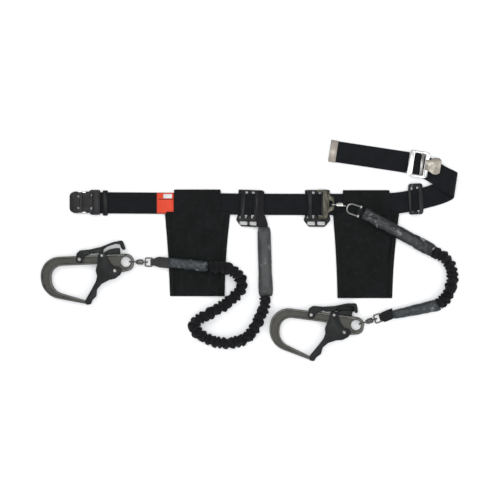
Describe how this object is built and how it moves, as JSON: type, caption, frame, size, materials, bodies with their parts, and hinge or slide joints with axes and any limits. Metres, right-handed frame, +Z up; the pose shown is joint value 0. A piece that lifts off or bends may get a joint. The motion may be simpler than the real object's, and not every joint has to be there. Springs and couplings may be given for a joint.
{
  "type": "tool belt",
  "caption": "Black waist belt laid flat with one-touch buckle, two elastic shock-absorbing lanyards ending in large scaffold hooks, hook hangers and open-topped hook pouches.",
  "frame": {"origin": "centre of the footprint, on the surface that the belt lies on", "axes": "+X along the belt from the buckle to the folded end, +Y across the belt away from the pouches, +Z up"},
  "size_m": [0.9766, 0.5182, 0.0355],
  "materials": {
    "webbing": "ribbed nylon weave",
    "pouch_cloth": "coated nylon",
    "black_plastic": "moulded, satin",
    "hook_alloy": "dark anodised, satin",
    "steel": "bright",
    "zinc": "zinc plated, dull",
    "dark_steel": "dull",
    "end_clamp": "taupe, satin",
    "label": "printed fabric",
    "cover_vinyl": "wrinkled soft vinyl",
    "bungee": "gathered tubular webbing"
  },
  "bodies": {
    "belt": {"belt_webbing": "webbing", "belt_end_tip": "end_clamp", "buckle_case": "black_plastic", "buckle_cover": "black_plastic", "buckle_rivet_1": "steel", "buckle_rivet_2": "steel", "buckle_spring": "steel", "label": "label", "left_hanger": "black_plastic", "right_hanger": "black_plastic", "d_plate": "zinc", "left_absorber_cover": "cover_vinyl", "left_top_loop": "webbing", "left_bungee": "bungee", "right_bungee": "bungee", "right_absorber_cover": "cover_vinyl", "right_top_loop": "webbing", "shackle": "steel", "shackle_pin": "steel", "anchor_ring": "steel", "anchor_barrel": "steel", "left_end_cover": "cover_vinyl", "right_end_cover": "cover_vinyl", "left_end_strap": "webbing", "right_end_strap": "webbing", "left_swivel_barrel": "dark_steel", "right_swivel_barrel": "dark_steel", "left_link": "dark_steel", "right_link": "dark_steel"},
    "keeper": {"belt_keeper": "black_plastic"},
    "stopper": {"belt_stopper": "black_plastic"},
    "adjuster": {"adjuster_frame": "steel", "belt_wrap": "webbing", "tongue_plate": "steel", "tongue_rivet": "steel"},
    "slide_bar": {"slide_bar": "steel"},
    "buckle_lever_upper": {"buckle_lever_upper": "steel"},
    "buckle_lever_lower": {"buckle_lever_lower": "steel"},
    "left_pouch": {"left_pouch_bag": "pouch_cloth", "left_pouch_strap": "pouch_cloth"},
    "left_swivel": {"left_swivel_ring": "dark_steel"},
    "left_hook": {"left_hook_body": "hook_alloy", "left_back_guard": "black_plastic", "left_rivet_gate": "steel", "left_rivet_lever": "steel"},
    "left_gate": {"left_gate": "black_plastic", "left_rivet_lug": "steel"},
    "left_lever": {"left_lever": "black_plastic"},
    "right_pouch": {"right_pouch_bag": "pouch_cloth", "right_pouch_strap": "pouch_cloth"},
    "right_swivel": {"right_swivel_ring": "dark_steel"},
    "right_hook": {"right_hook_body": "hook_alloy", "right_back_guard": "black_plastic", "right_rivet_gate": "steel", "right_rivet_lever": "steel"},
    "right_gate": {"right_gate": "black_plastic", "right_rivet_lug": "steel"},
    "right_lever": {"right_lever": "black_plastic"}
  },
  "joints": [
    {"name": "keeper_slide", "type": "slide", "parent": "belt", "child": "keeper", "axis": [1, 0, 0], "range_m": [0, 0.08]},
    {"name": "stopper_slide", "type": "slide", "parent": "belt", "child": "stopper", "axis": [0.9781, 0.2079, 0], "range_m": [-0.003, 0.003]},
    {"name": "adjuster_slide", "type": "slide", "parent": "belt", "child": "adjuster", "axis": [-0.9885, 0.1513, 0], "range_m": [0, 0.11]},
    {"name": "slide_bar_play", "type": "slide", "parent": "adjuster", "child": "slide_bar", "axis": [0.9885, -0.1513, 0], "range_m": [-0.0009, 0.0012]},
    {"name": "buckle_lever_upper_press", "type": "slide", "parent": "belt", "child": "buckle_lever_upper", "axis": [0, -1, 0], "range_m": [0, 0.0022], "stiffness_N_per_m": 600},
    {"name": "buckle_lever_lower_press", "type": "slide", "parent": "belt", "child": "buckle_lever_lower", "axis": [0, 1, 0], "range_m": [0, 0.0022], "stiffness_N_per_m": 600},
    {"name": "left_pouch_slide", "type": "slide", "parent": "belt", "child": "left_pouch", "axis": [1, 0, 0], "range_m": [0, 0.006]},
    {"name": "left_hook_swivel", "type": "hinge", "parent": "belt", "child": "left_swivel", "pos_m": [-0.2631, -0.02745, 0.0092], "axis": [0.9998, -0.0174, 0], "range_deg": [-90, 90]},
    {"name": "left_hook_turn", "type": "hinge", "parent": "left_swivel", "child": "left_hook", "pos_m": [-0.2891, -0.027, 0.0092], "axis": [0, 0, 1], "range_deg": [-28, 14]},
    {"name": "left_gate_open", "type": "hinge", "parent": "left_hook", "child": "left_gate", "pos_m": [-0.31424, -0.04807, 0.0092], "axis": [0, 0, 1], "range_deg": [-36, 0], "stiffness_Nm_per_rad": 1.2, "springref_deg": 5.73},
    {"name": "left_lever_press", "type": "hinge", "parent": "left_hook", "child": "left_lever", "pos_m": [-0.39742, -0.02153, 0.0092], "axis": [0, 0, 1], "range_deg": [-4, 0], "stiffness_Nm_per_rad": 2, "springref_deg": 2.86},
    {"name": "right_pouch_slide", "type": "slide", "parent": "belt", "child": "right_pouch", "axis": [1, 0, 0], "range_m": [-0.005, 0.008]},
    {"name": "right_hook_swivel", "type": "hinge", "parent": "belt", "child": "right_swivel", "pos_m": [0.27486, -0.1677, 0.0092], "axis": [0.9563, 0.2924, 0], "range_deg": [-90, 90]},
    {"name": "right_hook_turn", "type": "hinge", "parent": "right_swivel", "child": "right_hook", "pos_m": [0.25, -0.1753, 0.0092], "axis": [0, 0, 1], "range_deg": [-12, 40]},
    {"name": "right_gate_open", "type": "hinge", "parent": "right_hook", "child": "right_gate", "pos_m": [0.22158, -0.19169, 0.0092], "axis": [0, 0, 1], "range_deg": [-36, 0], "stiffness_Nm_per_rad": 1.2, "springref_deg": 5.73},
    {"name": "right_lever_press", "type": "hinge", "parent": "right_hook", "child": "right_lever", "pos_m": [0.14427, -0.1511, 0.0092], "axis": [0, 0, 1], "range_deg": [-4, 0], "stiffness_Nm_per_rad": 2, "springref_deg": 2.86}
  ]
}
